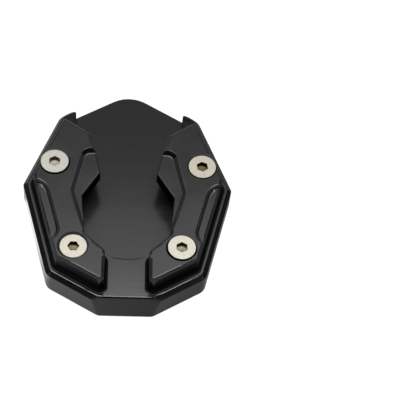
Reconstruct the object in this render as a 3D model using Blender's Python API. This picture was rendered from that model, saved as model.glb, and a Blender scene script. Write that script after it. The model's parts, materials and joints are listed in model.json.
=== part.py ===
"""Foot enlarger for a motorbike's side stand.

A thick milled sole plate carries two raised rails. A clamp plate sits on each rail, is held by two
countersunk screws, and reaches over the pocket that takes the foot of the stand. The sole has ten round
grooves for grip.

Units are metres, +Z is up, and -Y is the front lip. The origin is at the middle of the sole's box, on the
ground.
"""

import math
from dataclasses import dataclass

import bmesh
import bpy
from mathutils import Matrix, Vector

MM = 0.001

# Gap that keeps two touching pieces apart
FIT = 0.3 * MM

# Sole plate outline: one half, from the rear apex to the front edge, with y = 0 at the waist
APEX_Y = 57.2 * MM
SHOULDER_X = 31.1 * MM
SHOULDER_Y = 37.8 * MM
WAIST_X = 45.4 * MM
HIP_X = 33.25 * MM
HIP_Y = -45.0 * MM
FRONT_X = 12.4 * MM
FRONT_Y = -57.3 * MM
APEX_RADIUS = 14.0 * MM
SHOULDER_RADIUS = 8.0 * MM
WAIST_RADIUS = 2.5 * MM
HIP_RADIUS = 5.5 * MM
FRONT_RADIUS = 4.0 * MM

# Sole plate levels and edges
PLATE_HEIGHT = 13.25 * MM
TOP_CHAMFER = 1.85 * MM
SOLE_CHAMFER_HEIGHT = 1.0 * MM
SOLE_CHAMFER_WIDTH = 1.5 * MM
FRONT_LEAN = math.radians(8.6)
FRONT_TOP_INSET = 1.25 * MM

# Pocket for the foot of the stand, open to the rear over a tongue
POCKET_HALF_WIDTH = 24.0 * MM
POCKET_FLOOR = 6.2 * MM
POCKET_ARC_RADIUS = 33.0 * MM
POCKET_ARC_Y = -4.0 * MM
TONGUE_CHAMFER = 1.0 * MM
LOBE_TIP_RADIUS = 2.0 * MM
LOBE_TIP_FLARE = math.radians(4)

# Rails that raise the clamps, with a hollow fillet at the foot
RAIL_HEIGHT = 2.75 * MM
RAIL_FILLET = 1.5 * MM

# Clamp plates: set back from the plate's edges, with their own inner edge
CLAMP_THICKNESS = 6.0 * MM
CLAMP_SETBACK = 4.25 * MM
CLAMP_REAR_SETBACK = 4.6 * MM
CLAMP_CHAMFER = 1.2 * MM
CLAMP_INNER_X = 9.1 * MM
CLAMP_BACK_X = 26.6 * MM
CLAMP_BACK_Y = 28.3 * MM
WING_REAR_X = 16.9 * MM
WING_REAR_Y = 21.5 * MM
WING_TIP_X = 12.1 * MM
WING_TIP_Y = 1.9 * MM
WING_ROOT_X = 19.6 * MM
WING_ROOT_Y = -10.4 * MM
THROAT_X = 17.9 * MM
THROAT_Y = -30.0 * MM
CHEEK_Y = -38.2 * MM
TIP_CUT = 2.45 * MM
TIP_RADIUS = 0.5 * MM
CLAMP_HIP_RADIUS = 2.5 * MM
CLAMP_WAIST_RADIUS = 1.5 * MM
CLAMP_BACK_RADIUS = 1.6 * MM
WING_RADIUS = 0.8 * MM
THROAT_RADIUS = 2.0 * MM
CHEEK_RADIUS = 3.0 * MM

# Wing: the part of a clamp over the pocket, set down below the rest of the plate
WING_DROP = 2.0 * MM
WING_STEP_RUN = 1.5 * MM
WING_STEP_REAR_Y = 13.1 * MM
WING_STEP_REAR_X = 20.1 * MM
WING_STEP_X = 24.6 * MM
WING_STEP_Y = -8.9 * MM
WING_STEP_END_X = 19.2 * MM
WING_STEP_END_Y = -27.7 * MM
WING_STEP_REAR_RADIUS = 4.5 * MM
WING_STEP_RADIUS = 3.5 * MM

# Facet above the cut across a clamp's front tip: how far it turns from the front and leans back, and where
# it meets the inner wall just under the chamfer
TIP_FACET_TURN = math.radians(8)
TIP_FACET_LEAN = math.radians(16)
TIP_FACET_Y = -51.9 * MM

# Ledge cut along the outer side of a clamp between its two screws
LEDGE_DEPTH = 2.0 * MM
LEDGE_SETBACK = 9.3 * MM
LEDGE_START = 4.3 * MM
LEDGE_END = 37.2 * MM
LEDGE_REAR_RADIUS = 8.3 * MM
LEDGE_FRONT_RADIUS = 6.5 * MM
LEDGE_BEVEL = 0.8 * MM
LEDGE_EDGE_CHAMFER = 1.05 * MM
LEDGE_EDGE_INSET = 0.1 * MM

# Countersunk hexagon-socket screws M6 x 20
SCREW_DIAMETER = 6.0 * MM
SCREW_LENGTH = 20.0 * MM
SCREW_TIP_DIAMETER = 4.6 * MM
HEAD_DIAMETER = 12.0 * MM
HEAD_RIM = 0.3 * MM
SOCKET_WIDTH = 4.0 * MM
SOCKET_DEPTH = 2.6 * MM
SOLE_COUNTERBORE = 7.8 * MM
SOLE_COUNTERBORE_DEPTH = 1.6 * MM
REAR_SCREW_X = 31.7 * MM
REAR_SCREW_Y = 4.9 * MM
FRONT_SCREW_X = 22.4 * MM
FRONT_SCREW_Y = -36.8 * MM

# Grip grooves under the sole, cut by a ball-nosed mill; the rear screws stand over one of them
GROOVE_RADIUS = 3.0 * MM
GROOVE_DEPTH = 1.0 * MM
GROOVE_PITCH = 10.42 * MM
GROOVES_BEHIND_SCREWS = 4
GROOVE_COUNT = 10

# Facets of the round shapes
ARC_STEP = math.radians(11)
MIN_RADIUS = 0.15 * MM
ROUND_SEGMENTS = 48
GROOVE_SEGMENTS = 40

# Levels that follow from the sizes above
RAIL_TOP = PLATE_HEIGHT + RAIL_HEIGHT
CLAMP_BASE = RAIL_TOP + FIT
CLAMP_TOP = CLAMP_BASE + CLAMP_THICKNESS
WING_TOP = CLAMP_TOP - WING_DROP
WING_BASE = CLAMP_BASE - WING_DROP
BORE_DIAMETER = SCREW_DIAMETER + 2 * FIT
REACH = 20.0 * MM


@dataclass(frozen=True)
class Corner:
    """One corner of an outline and the radius that rounds it."""

    x: float
    y: float
    radius: float = 0.0


def front_line_y(z: float) -> float:
    """Y of the leaning front face at height z."""
    return FRONT_Y + FRONT_TOP_INSET - (PLATE_HEIGHT - z) * math.tan(FRONT_LEAN)


def apex_rounded_y() -> float:
    """Y of the rearmost point, where the apex is rounded."""
    half_angle = math.atan2(SHOULDER_X, APEX_Y - SHOULDER_Y)
    return APEX_Y - APEX_RADIUS * (1 / math.sin(half_angle) - 1)


# The box of the plate is centred on the origin, so the waist lies a little off it
WAIST_Y = -(apex_rounded_y() + front_line_y(SOLE_CHAMFER_HEIGHT)) / 2


def clear_scene() -> None:
    """Remove every object of the open file."""
    for item in list(bpy.data.objects):
        bpy.data.objects.remove(item, do_unlink=True)


def finish(name: str, color: tuple, metallic: float, roughness: float) -> bpy.types.Material:
    """A plain Principled material."""
    material = bpy.data.materials.new(name)
    material.use_nodes = True
    shader = material.node_tree.nodes["Principled BSDF"]
    shader.inputs["Base Color"].default_value = (*color, 1.0)
    shader.inputs["Metallic"].default_value = metallic
    shader.inputs["Roughness"].default_value = roughness
    return material


def meet(point_a: Vector, way_a: Vector, point_b: Vector, way_b: Vector) -> Vector:
    """Where two lines of the plane cross."""
    across = way_a.x * way_b.y - way_a.y * way_b.x
    gap = point_b - point_a
    return point_a + way_a * ((gap.x * way_b.y - gap.y * way_b.x) / across)


def left_of(way: Vector) -> Vector:
    """The direction a quarter turn to the left."""
    return Vector((-way.y, way.x))


def rounded_ring(corners: list, z: float, insets) -> list:
    """Points of an outline at height z, moved inwards edge by edge and rounded at its corners.

    Corners run anticlockwise. Edge i runs from corner i to the next one, and insets holds one
    distance for each edge, or one for them all.
    """
    count = len(corners)
    if isinstance(insets, float):
        insets = [insets] * count
    points = [Vector((corner.x, corner.y)) for corner in corners]
    ways = [(points[(i + 1) % count] - points[i]).normalized() for i in range(count)]
    ring = []
    for i, corner in enumerate(corners):
        way_in = ways[i - 1]
        way_out = ways[i]
        inset_in = insets[i - 1]
        inset_out = insets[i]
        vertex = meet(points[i] + left_of(way_in) * inset_in, way_in,
                      points[i] + left_of(way_out) * inset_out, way_out)
        turn = math.atan2(way_in.x * way_out.y - way_in.y * way_out.x, way_in.dot(way_out))
        side = math.copysign(1.0, turn)
        radius = max(corner.radius - side * (inset_in + inset_out) / 2, MIN_RADIUS)
        steps = max(2, math.ceil(abs(turn) / ARC_STEP))
        start = vertex - way_in * (radius * math.tan(abs(turn) / 2))
        centre = start + left_of(way_in) * (side * radius)
        for step in range(steps + 1):
            spoke = Matrix.Rotation(turn * step / steps, 2) @ (start - centre)
            ring.append(Vector((centre.x + spoke.x, centre.y + spoke.y, z)))
    return ring


def circle(x: float, y: float, z: float, radius: float, segments: int = ROUND_SEGMENTS) -> list:
    """Points of a level circle, anticlockwise."""
    turns = [2 * math.pi * i / segments for i in range(segments)]
    return [Vector((x + radius * math.cos(t), y + radius * math.sin(t), z)) for t in turns]


def mirrored(corners: list) -> list:
    """The same outline on the other side of the YZ plane, still anticlockwise."""
    return [Corner(-corner.x, corner.y, corner.radius) for corner in reversed(corners)]


def on_side(corners: list, side: int) -> list:
    """The outline for the right side (1) or the left side (-1)."""
    return corners if side > 0 else mirrored(corners)


def add_loft(bm: bmesh.types.BMesh, rings: list) -> None:
    """Add one closed solid that runs through rings of equal length, from the lowest to the highest."""
    levels = [[bm.verts.new(point) for point in ring] for ring in rings]
    count = len(levels[0])
    bm.faces.new(list(reversed(levels[0])))
    bm.faces.new(levels[-1])
    for lower, upper in zip(levels, levels[1:]):
        for i in range(count):
            j = (i + 1) % count
            bm.faces.new((lower[i], lower[j], upper[j], upper[i]))


def make_object(name: str, bm: bmesh.types.BMesh) -> bpy.types.Object:
    """Turn a bmesh into an object of the scene."""
    mesh = bpy.data.meshes.new(name)
    bm.to_mesh(mesh)
    bm.free()
    item = bpy.data.objects.new(name, mesh)
    bpy.context.scene.collection.objects.link(item)
    return item


def loft(name: str, *solids: list) -> bpy.types.Object:
    """An object of one or more lofted solids, each given as its list of rings."""
    bm = bmesh.new()
    for rings in solids:
        add_loft(bm, rings)
    return make_object(name, bm)


def combine(target: bpy.types.Object, tool: bpy.types.Object, operation: str) -> None:
    """Give the target a Boolean by the tool, and keep the tool out of the model."""
    modifier = target.modifiers.new(f"{operation.lower()}_{tool.name}", "BOOLEAN")
    modifier.operation = operation
    modifier.solver = "EXACT"
    modifier.object = tool
    tool.hide_render = True
    tool.display_type = "WIRE"


def shade(item: bpy.types.Object, material: bpy.types.Material) -> None:
    """Give an object its material and smooth shading with crisp edges."""
    item.data.materials.append(material)
    item.data.shade_smooth()
    item.data.set_sharp_from_angle(angle=math.radians(25))


def plate_corners() -> list:
    """The sole plate's outline, anticlockwise from the rear apex."""
    half = [
        Corner(-SHOULDER_X, WAIST_Y + SHOULDER_Y, SHOULDER_RADIUS),
        Corner(-WAIST_X, WAIST_Y, WAIST_RADIUS),
        Corner(-HIP_X, WAIST_Y + HIP_Y, HIP_RADIUS),
        Corner(-FRONT_X, WAIST_Y + FRONT_Y, FRONT_RADIUS),
    ]
    return [Corner(0.0, WAIST_Y + APEX_Y, APEX_RADIUS), *half, *mirrored(half)]


def plate_insets(side_inset: float, front_inset: float) -> list:
    """Insets for the plate's nine edges: the front edge is the fifth."""
    return [side_inset] * 4 + [front_inset] + [side_inset] * 4


def plate_ring(z: float, side_inset: float, front_extra: float = 0.0) -> list:
    """The plate's outline at height z, with its front edge on the leaning front face."""
    front_inset = front_line_y(z) - FRONT_Y + front_extra
    return rounded_ring(plate_corners(), z, plate_insets(side_inset, front_inset))


def edge_line(corner_a: Corner, corner_b: Corner, inset: float) -> tuple:
    """The line that runs inside the edge from corner a to corner b, as a point and a direction."""
    start = Vector((corner_a.x, corner_a.y))
    way = (Vector((corner_b.x, corner_b.y)) - start).normalized()
    return start + left_of(way) * inset, way


def right_side_lines() -> tuple:
    """Front, outer and rear wall lines of the right clamp, set back from the plate's edges."""
    corners = plate_corners()
    front = edge_line(corners[5], corners[6], CLAMP_SETBACK)
    outer = edge_line(corners[6], corners[7], CLAMP_SETBACK)
    rear = edge_line(corners[7], corners[8], CLAMP_REAR_SETBACK)
    return front, outer, rear


def back_line() -> tuple:
    """Wall line of the right clamp's back edge, which runs from its back corner to the wing."""
    start = Vector((CLAMP_BACK_X, WAIST_Y + CLAMP_BACK_Y))
    end = Vector((WING_REAR_X, WAIST_Y + WING_REAR_Y))
    return start, (end - start).normalized()


def side_corners() -> list:
    """Corners that the right clamp shares with its rail: the cut front tip, hip, waist and back."""
    front, outer, rear = right_side_lines()
    inner = (Vector((CLAMP_INNER_X, 0.0)), Vector((0.0, 1.0)))
    tip = meet(*inner, *front)
    tip_front = tip + front[1] * TIP_CUT
    hip = meet(*front, *outer)
    waist = meet(*outer, *rear)
    back = meet(*rear, *back_line())
    return [
        Corner(tip.x, tip.y + TIP_CUT, TIP_RADIUS),
        Corner(tip_front.x, tip_front.y, TIP_RADIUS),
        Corner(hip.x, hip.y, CLAMP_HIP_RADIUS),
        Corner(waist.x, waist.y, CLAMP_WAIST_RADIUS),
        Corner(back.x, back.y, CLAMP_BACK_RADIUS),
    ]


def clamp_corners() -> list:
    """The right clamp's outline, anticlockwise from its front tip."""
    return [
        *side_corners(),
        Corner(WING_REAR_X, WAIST_Y + WING_REAR_Y, WING_RADIUS),
        Corner(WING_TIP_X, WAIST_Y + WING_TIP_Y, WING_RADIUS),
        Corner(WING_ROOT_X, WAIST_Y + WING_ROOT_Y, WING_RADIUS),
        Corner(THROAT_X, WAIST_Y + THROAT_Y, THROAT_RADIUS),
        Corner(CLAMP_INNER_X, WAIST_Y + CHEEK_Y, CHEEK_RADIUS),
    ]


def rail_corners() -> list:
    """The right rail's outline: that of the clamp, closed by a plain line inside the pocket."""
    inside_x = (POCKET_HALF_WIDTH + WING_REAR_X) / 2
    inside = (Vector((inside_x, 0.0)), Vector((0.0, 1.0)))
    throat = Vector((THROAT_X, WAIST_Y + THROAT_Y))
    cheek = Vector((CLAMP_INNER_X, WAIST_Y + CHEEK_Y))
    rear = meet(*inside, *back_line())
    front = meet(*inside, throat, (cheek - throat).normalized())
    return [
        *side_corners(),
        Corner(rear.x, rear.y),
        Corner(front.x, front.y),
        Corner(cheek.x, cheek.y, CHEEK_RADIUS),
    ]


def rail_rings(side: int) -> list:
    """Rings of a rail, from inside the plate up its hollow foot fillet to its flat top."""
    corners = on_side(rail_corners(), side)
    rings = [rounded_ring(corners, PLATE_HEIGHT - TOP_CHAMFER, -RAIL_FILLET)]
    steps = 5
    for step in range(steps + 1):
        angle = math.pi / 2 * step / steps
        spread = RAIL_FILLET * (1 - math.sin(angle))
        height = PLATE_HEIGHT + RAIL_FILLET * (1 - math.cos(angle))
        rings.append(rounded_ring(corners, height, -spread))
    rings.append(rounded_ring(corners, RAIL_TOP, 0.0))
    return rings


def lobe_tip(side: int) -> list:
    """Corners of the pocket's outline that round a lobe's tip, from the pocket's side wall outwards."""
    corners = plate_corners()
    start, way = edge_line(corners[8], corners[0], 0.0)
    tip = meet(Vector((POCKET_HALF_WIDTH, 0.0)), Vector((0.0, 1.0)), start, way)
    flared = tip + Matrix.Rotation(-LOBE_TIP_FLARE, 2) @ (-way) * REACH
    corners = [Corner(tip.x, tip.y, LOBE_TIP_RADIUS), Corner(flared.x, flared.y)]
    return corners if side > 0 else [Corner(-corner.x, corner.y, corner.radius) for corner in reversed(corners)]


def pocket_corners() -> list:
    """Outline of the pocket, anticlockwise from the left end of its round front."""
    sweep = 2 * math.asin(POCKET_HALF_WIDTH / POCKET_ARC_RADIUS)
    steps = math.ceil(sweep / (ARC_STEP / 2))
    front = []
    for step in range(steps + 1):
        angle = sweep * (step / steps - 0.5)
        x = POCKET_ARC_RADIUS * math.sin(angle)
        y = WAIST_Y + POCKET_ARC_Y - POCKET_ARC_RADIUS * math.cos(angle)
        front.append(Corner(x, y))
    far_y = APEX_Y + REACH
    rear = [Corner(WAIST_X + REACH, far_y), Corner(-WAIST_X - REACH, far_y)]
    return [*front, *lobe_tip(1), *rear, *lobe_tip(-1)]


def make_pocket_cutter() -> bpy.types.Object:
    """Cutter for the pocket: straight sides, a round front end, and a chamfered tongue to the rear."""
    below = POCKET_FLOOR - TONGUE_CHAMFER - FIT
    cutter = loft("pocket_cutter", [
        rounded_ring(pocket_corners(), below, 0.0),
        rounded_ring(pocket_corners(), RAIL_TOP + REACH, 0.0),
    ])
    low = below - TONGUE_CHAMFER
    floor = loft("pocket_floor", [
        rounded_ring(plate_corners(), low, low - POCKET_FLOOR + TONGUE_CHAMFER),
        rounded_ring(plate_corners(), POCKET_FLOOR, TONGUE_CHAMFER),
    ])
    combine(cutter, floor, "DIFFERENCE")
    return cutter


def make_groove_cutter() -> bpy.types.Object:
    """Round bars along X that cut the grip grooves."""
    reach = WAIST_X + REACH
    solids = []
    for index in range(GROOVE_COUNT):
        y = WAIST_Y + REAR_SCREW_Y + (GROOVES_BEHIND_SCREWS - index) * GROOVE_PITCH
        profile = circle(0.0, 0.0, 0.0, GROOVE_RADIUS, GROOVE_SEGMENTS)
        solids.append([
            [Vector((x, y + point.x, GROOVE_DEPTH - GROOVE_RADIUS + point.y)) for point in profile]
            for x in (-reach, reach)
        ])
    return loft("groove_cutter", *solids)


def screw_places() -> dict:
    """Axis of each screw by the name of its node."""
    return {
        "screw_left_rear": (-REAR_SCREW_X, WAIST_Y + REAR_SCREW_Y),
        "screw_right_rear": (REAR_SCREW_X, WAIST_Y + REAR_SCREW_Y),
        "screw_left_front": (-FRONT_SCREW_X, WAIST_Y + FRONT_SCREW_Y),
        "screw_right_front": (FRONT_SCREW_X, WAIST_Y + FRONT_SCREW_Y),
    }


def make_base_bore_cutter() -> bpy.types.Object:
    """Screw bores of the plate, wider where they come out of the sole."""
    solids = []
    for x, y in screw_places().values():
        solids.append([
            circle(x, y, -REACH, SOLE_COUNTERBORE / 2),
            circle(x, y, SOLE_COUNTERBORE_DEPTH, SOLE_COUNTERBORE / 2),
            circle(x, y, SOLE_COUNTERBORE_DEPTH + (SOLE_COUNTERBORE - BORE_DIAMETER) / 2, BORE_DIAMETER / 2),
            circle(x, y, RAIL_TOP + REACH, BORE_DIAMETER / 2),
        ])
    return loft("base_bore_cutter", *solids)


def make_base_plate(material: bpy.types.Material) -> bpy.types.Object:
    """The sole plate with its rails, pocket, grooves and bores."""
    chamfer_low = PLATE_HEIGHT - TOP_CHAMFER
    plate = loft("base_plate", [
        plate_ring(0.0, SOLE_CHAMFER_WIDTH, SOLE_CHAMFER_WIDTH - SOLE_CHAMFER_HEIGHT * math.tan(FRONT_LEAN)),
        plate_ring(SOLE_CHAMFER_HEIGHT, 0.0),
        plate_ring(chamfer_low, 0.0),
        plate_ring(PLATE_HEIGHT, TOP_CHAMFER),
    ])
    for side, name in ((-1, "left_rail"), (1, "right_rail")):
        combine(plate, loft(name, rail_rings(side)), "UNION")
    combine(plate, make_pocket_cutter(), "DIFFERENCE")
    combine(plate, make_groove_cutter(), "DIFFERENCE")
    combine(plate, make_base_bore_cutter(), "DIFFERENCE")
    shade(plate, material)
    return plate


def wing_step_corners() -> list:
    """Upper edge of the step that sets the right wing down, closed beyond the clamp's inner edge."""
    far_x = WING_TIP_X - REACH
    return [
        Corner(far_x, WAIST_Y + WING_STEP_END_Y),
        Corner(WING_STEP_END_X, WAIST_Y + WING_STEP_END_Y),
        Corner(WING_STEP_X, WAIST_Y + WING_STEP_Y, WING_STEP_RADIUS),
        Corner(WING_STEP_REAR_X, WAIST_Y + WING_STEP_REAR_Y, WING_STEP_REAR_RADIUS),
        Corner(far_x, WAIST_Y + WING_STEP_REAR_Y),
    ]


def make_wing_cutter(side: int, name: str) -> bpy.types.Object:
    """Cutter above the wing, with sloping sides."""
    corners = on_side(wing_step_corners(), side)
    return loft(name, [
        rounded_ring(corners, WING_TOP, WING_STEP_RUN),
        rounded_ring(corners, CLAMP_TOP + WING_DROP, -WING_STEP_RUN),
    ])


def make_underside_cutter(side: int, name: str) -> bpy.types.Object:
    """Cutter below the clamp's underside that leaves the wing, which hangs as low as its top is set down."""
    half_length = APEX_Y + REACH
    sides = sorted((0.0, side * (WAIST_X + REACH)))
    outline = [(sides[0], -half_length), (sides[1], -half_length), (sides[1], half_length), (sides[0], half_length)]
    cutter = loft(name, [[Vector((x, y, z)) for x, y in outline] for z in (WING_BASE - REACH, CLAMP_BASE)])
    corners = on_side(wing_step_corners(), side)
    wing = loft(f"{name}_wing", [
        rounded_ring(corners, WING_BASE - 2 * REACH, WING_STEP_RUN),
        rounded_ring(corners, CLAMP_TOP, WING_STEP_RUN),
    ])
    combine(cutter, wing, "DIFFERENCE")
    return cutter


def beside_edge(along: float, setback: float) -> tuple:
    """Point at a distance along the plate's right outer edge from the waist, set back from it."""
    corners = plate_corners()
    start, way = edge_line(corners[7], corners[6], 0.0)
    point = start + way * along - left_of(way) * setback
    return point.x, point.y


def ledge_corners(side: int) -> list:
    """Outline of the ledge's cutter at the ledge's upper edge, open past the clamp's outer side."""
    return on_side([
        Corner(*beside_edge(LEDGE_END, -REACH)),
        Corner(*beside_edge(LEDGE_START, -REACH)),
        Corner(*beside_edge(LEDGE_START, LEDGE_SETBACK), LEDGE_REAR_RADIUS),
        Corner(*beside_edge(LEDGE_END, LEDGE_SETBACK), LEDGE_FRONT_RADIUS),
    ], side)


def make_ledge_cutter(side: int, name: str) -> bpy.types.Object:
    """Cutter for the ledge on the clamp's outer side: a bevelled step with round ends."""
    corners = ledge_corners(side)
    floor = CLAMP_TOP - LEDGE_DEPTH
    return loft(name, [
        rounded_ring(corners, floor, 2 * LEDGE_BEVEL),
        rounded_ring(corners, floor + LEDGE_BEVEL / 2, LEDGE_BEVEL),
        rounded_ring(corners, CLAMP_TOP - LEDGE_BEVEL, LEDGE_BEVEL),
        rounded_ring(corners, CLAMP_TOP + LEDGE_BEVEL, -LEDGE_BEVEL),
    ])


def make_ledge_edge_cutter(side: int, name: str) -> bpy.types.Object:
    """Cutter that chamfers the outer edge of the ledge between the ledge's round ends."""
    floor = CLAMP_TOP - LEDGE_DEPTH
    reach = LEDGE_EDGE_CHAMFER * 2
    rings = []
    for z, slope in ((floor - reach, -reach), (floor + reach, reach)):
        setback = CLAMP_SETBACK + LEDGE_EDGE_CHAMFER + slope
        corners = on_side([
            Corner(*beside_edge(LEDGE_END, -REACH)),
            Corner(*beside_edge(LEDGE_START, -REACH)),
            Corner(*beside_edge(LEDGE_START, setback)),
            Corner(*beside_edge(LEDGE_END, setback)),
        ], side)
        rings.append([Vector((corner.x, corner.y, z)) for corner in corners])
    cutter = loft(name, rings)
    inside = loft(f"{name}_inside", [
        rounded_ring(ledge_corners(side), z, 2 * LEDGE_BEVEL + LEDGE_EDGE_INSET)
        for z in (floor - reach, CLAMP_TOP + reach)
    ])
    combine(cutter, inside, "INTERSECT")
    return cutter


def make_clamp_bore_cutter(side: int, name: str) -> bpy.types.Object:
    """Clearance holes and countersinks of a clamp's two screws."""
    head_radius = HEAD_DIAMETER / 2 + FIT * math.sqrt(2)
    bore_radius = BORE_DIAMETER / 2
    cone = head_radius - bore_radius
    solids = []
    for x, y in ((REAR_SCREW_X, REAR_SCREW_Y), (FRONT_SCREW_X, FRONT_SCREW_Y)):
        solids.append([
            circle(side * x, WAIST_Y + y, CLAMP_BASE - REACH, bore_radius),
            circle(side * x, WAIST_Y + y, CLAMP_TOP - HEAD_RIM - cone, bore_radius),
            circle(side * x, WAIST_Y + y, CLAMP_TOP - HEAD_RIM, head_radius),
            circle(side * x, WAIST_Y + y, CLAMP_TOP + REACH, head_radius),
        ])
    return loft(name, *solids)


def make_tip_cutter(side: int, name: str) -> bpy.types.Object:
    """Block that cuts the oblique facet across a clamp's front tip."""
    turn = math.radians(-90) - side * TIP_FACET_TURN
    normal = Vector((math.cos(turn), math.sin(turn), math.tan(TIP_FACET_LEAN))).normalized()
    place = Vector((side * CLAMP_INNER_X, WAIST_Y + TIP_FACET_Y, CLAMP_TOP - CLAMP_CHAMFER))
    frame = Matrix.Translation(place) @ normal.to_track_quat("Z", "Y").to_matrix().to_4x4()
    half = REACH / 2
    square = [(-half, -half), (half, -half), (half, half), (-half, half)]
    return loft(name, [[frame @ Vector((x, y, z)) for x, y in square] for z in (0.0, REACH)])


def make_clamp(side: int, name: str, material: bpy.types.Material) -> bpy.types.Object:
    """One clamp plate with its wing, ledge, tip facet and countersunk holes."""
    corners = on_side(clamp_corners(), side)
    clamp = loft(name, [
        rounded_ring(corners, WING_BASE, 0.0),
        rounded_ring(corners, CLAMP_TOP - CLAMP_CHAMFER, 0.0),
        rounded_ring(corners, CLAMP_TOP, CLAMP_CHAMFER),
    ])
    combine(clamp, make_underside_cutter(side, f"{name}_underside_cutter"), "DIFFERENCE")
    combine(clamp, make_tip_cutter(side, f"{name}_tip_cutter"), "DIFFERENCE")
    combine(clamp, make_wing_cutter(side, f"{name}_wing_cutter"), "DIFFERENCE")
    combine(clamp, make_ledge_cutter(side, f"{name}_ledge_cutter"), "DIFFERENCE")
    combine(clamp, make_ledge_edge_cutter(side, f"{name}_ledge_edge_cutter"), "DIFFERENCE")
    combine(clamp, make_clamp_bore_cutter(side, f"{name}_bore_cutter"), "DIFFERENCE")
    shade(clamp, material)
    return clamp


def make_socket_cutter(name: str, x: float, y: float) -> bpy.types.Object:
    """Hexagonal socket with a shallow conical bottom."""
    corner_radius = SOCKET_WIDTH / math.sqrt(3)
    bottom = CLAMP_TOP - SOCKET_DEPTH
    return loft(name, [
        circle(x, y, bottom - SOCKET_WIDTH / 4, corner_radius / 10, 6),
        circle(x, y, bottom, corner_radius, 6),
        circle(x, y, CLAMP_TOP + REACH, corner_radius, 6),
    ])


def make_screw(name: str, x: float, y: float, material: bpy.types.Material) -> bpy.types.Object:
    """One countersunk screw, its head level with the top of the clamp."""
    head_radius = HEAD_DIAMETER / 2
    shank_radius = SCREW_DIAMETER / 2
    tip_radius = SCREW_TIP_DIAMETER / 2
    end = CLAMP_TOP - SCREW_LENGTH
    cone_top = CLAMP_TOP - HEAD_RIM
    screw = loft(name, [
        circle(x, y, end, tip_radius),
        circle(x, y, end + shank_radius - tip_radius, shank_radius),
        circle(x, y, cone_top - (head_radius - shank_radius), shank_radius),
        circle(x, y, cone_top, head_radius),
        circle(x, y, CLAMP_TOP, head_radius),
    ])
    combine(screw, make_socket_cutter(f"{name}_socket_cutter", x, y), "DIFFERENCE")
    shade(screw, material)
    return screw


def build() -> None:
    """Model every piece."""
    clear_scene()
    black = finish("black_anodised_aluminium", (0.028, 0.028, 0.03), 0.85, 0.42)
    steel = finish("plated_steel", (0.78, 0.75, 0.66), 1.0, 0.38)
    make_base_plate(black)
    make_clamp(-1, "left_clamp", black)
    make_clamp(1, "right_clamp", black)
    for name, (x, y) in screw_places().items():
        make_screw(name, x, y, steel)


build()
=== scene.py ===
"""Looks for the side stand's foot enlarger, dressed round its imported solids.

Black anodised plate and clamps with milling marks, four plated screws, a pale floor and a studio light.
Lengths are in metres, in the frame of the solids: +Z is up and -Y is the front lip.
"""

import json
import logging
import math
from dataclasses import dataclass, field
from enum import Enum
from functools import partial

import bmesh
import bpy
from mathutils import Matrix, Vector
from mathutils.bvhtree import BVHTree
from mathutils.kdtree import KDTree

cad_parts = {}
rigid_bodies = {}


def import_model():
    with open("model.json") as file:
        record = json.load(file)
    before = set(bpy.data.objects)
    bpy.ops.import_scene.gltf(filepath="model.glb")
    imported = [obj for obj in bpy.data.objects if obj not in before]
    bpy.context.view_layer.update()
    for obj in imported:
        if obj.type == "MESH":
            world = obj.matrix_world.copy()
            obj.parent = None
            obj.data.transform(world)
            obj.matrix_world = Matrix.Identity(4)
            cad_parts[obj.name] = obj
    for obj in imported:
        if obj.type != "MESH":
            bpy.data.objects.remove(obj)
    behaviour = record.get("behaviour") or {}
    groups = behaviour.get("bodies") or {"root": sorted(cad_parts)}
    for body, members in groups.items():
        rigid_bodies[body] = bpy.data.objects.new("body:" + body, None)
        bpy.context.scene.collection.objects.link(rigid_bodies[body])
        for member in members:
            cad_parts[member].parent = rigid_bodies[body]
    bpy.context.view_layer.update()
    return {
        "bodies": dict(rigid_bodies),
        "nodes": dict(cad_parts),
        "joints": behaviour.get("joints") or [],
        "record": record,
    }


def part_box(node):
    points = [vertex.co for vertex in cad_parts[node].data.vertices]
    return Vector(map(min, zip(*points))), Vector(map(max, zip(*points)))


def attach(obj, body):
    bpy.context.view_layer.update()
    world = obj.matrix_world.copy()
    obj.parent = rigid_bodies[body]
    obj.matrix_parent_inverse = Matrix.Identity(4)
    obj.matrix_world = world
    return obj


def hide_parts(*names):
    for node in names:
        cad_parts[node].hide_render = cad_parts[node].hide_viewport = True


MM = 0.001
ROOT = "root"
WHITE = (1.0, 1.0, 1.0, 1.0)
NOISE_LOW = 0.3
NOISE_HIGH = 0.7
LOG = logging.getLogger("foot_enlarger")

Socket = bpy.types.NodeSocket
Tree = bpy.types.NodeTree


class Grain(Enum):
    """How a metal surface was left."""

    SATIN = "satin"
    MILLED = "milled"


class Zone(Enum):
    """Parts of the milled surface that were cut in different ways."""

    TOP = "top"
    FLOOR = "floor"
    WALL = "wall"
    SIDE = "side"
    CHAMFER = "chamfer"
    TUMBLED = "tumbled"
    STEP = "step"
    # RIM is painted shade: an unreflecting black on faces where a shadow line falls.
    RIM = "rim"
    LIP = "lip"
    LOBE = "lobe"
    SOLE = "sole"


def feed(tree: Tree, node: bpy.types.Node, inputs: dict) -> None:
    """Link or set inputs of a node.

    Args:
        tree: The node's tree.
        node: Node to feed.
        inputs: Socket or plain value by the input's name or index.
    """
    for name, value in inputs.items():
        if isinstance(value, Socket):
            tree.links.new(value, node.inputs[name])
        else:
            node.inputs[name].default_value = value


def add_node(tree: Tree, kind: str, inputs: dict | None = None, **values: object) -> bpy.types.Node:
    """Add a node to a tree, set its plain attributes and feed it.

    Args:
        tree: Tree that takes the node.
        kind: Blender's name for the node's type.
        inputs: Socket or plain value by the input's name or index.
        values: Attributes of the node, by name.

    Returns:
        The new node.
    """
    node = tree.nodes.new(kind)
    for name, value in values.items():
        setattr(node, name, value)
    feed(tree, node, inputs or {})
    return node


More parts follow.
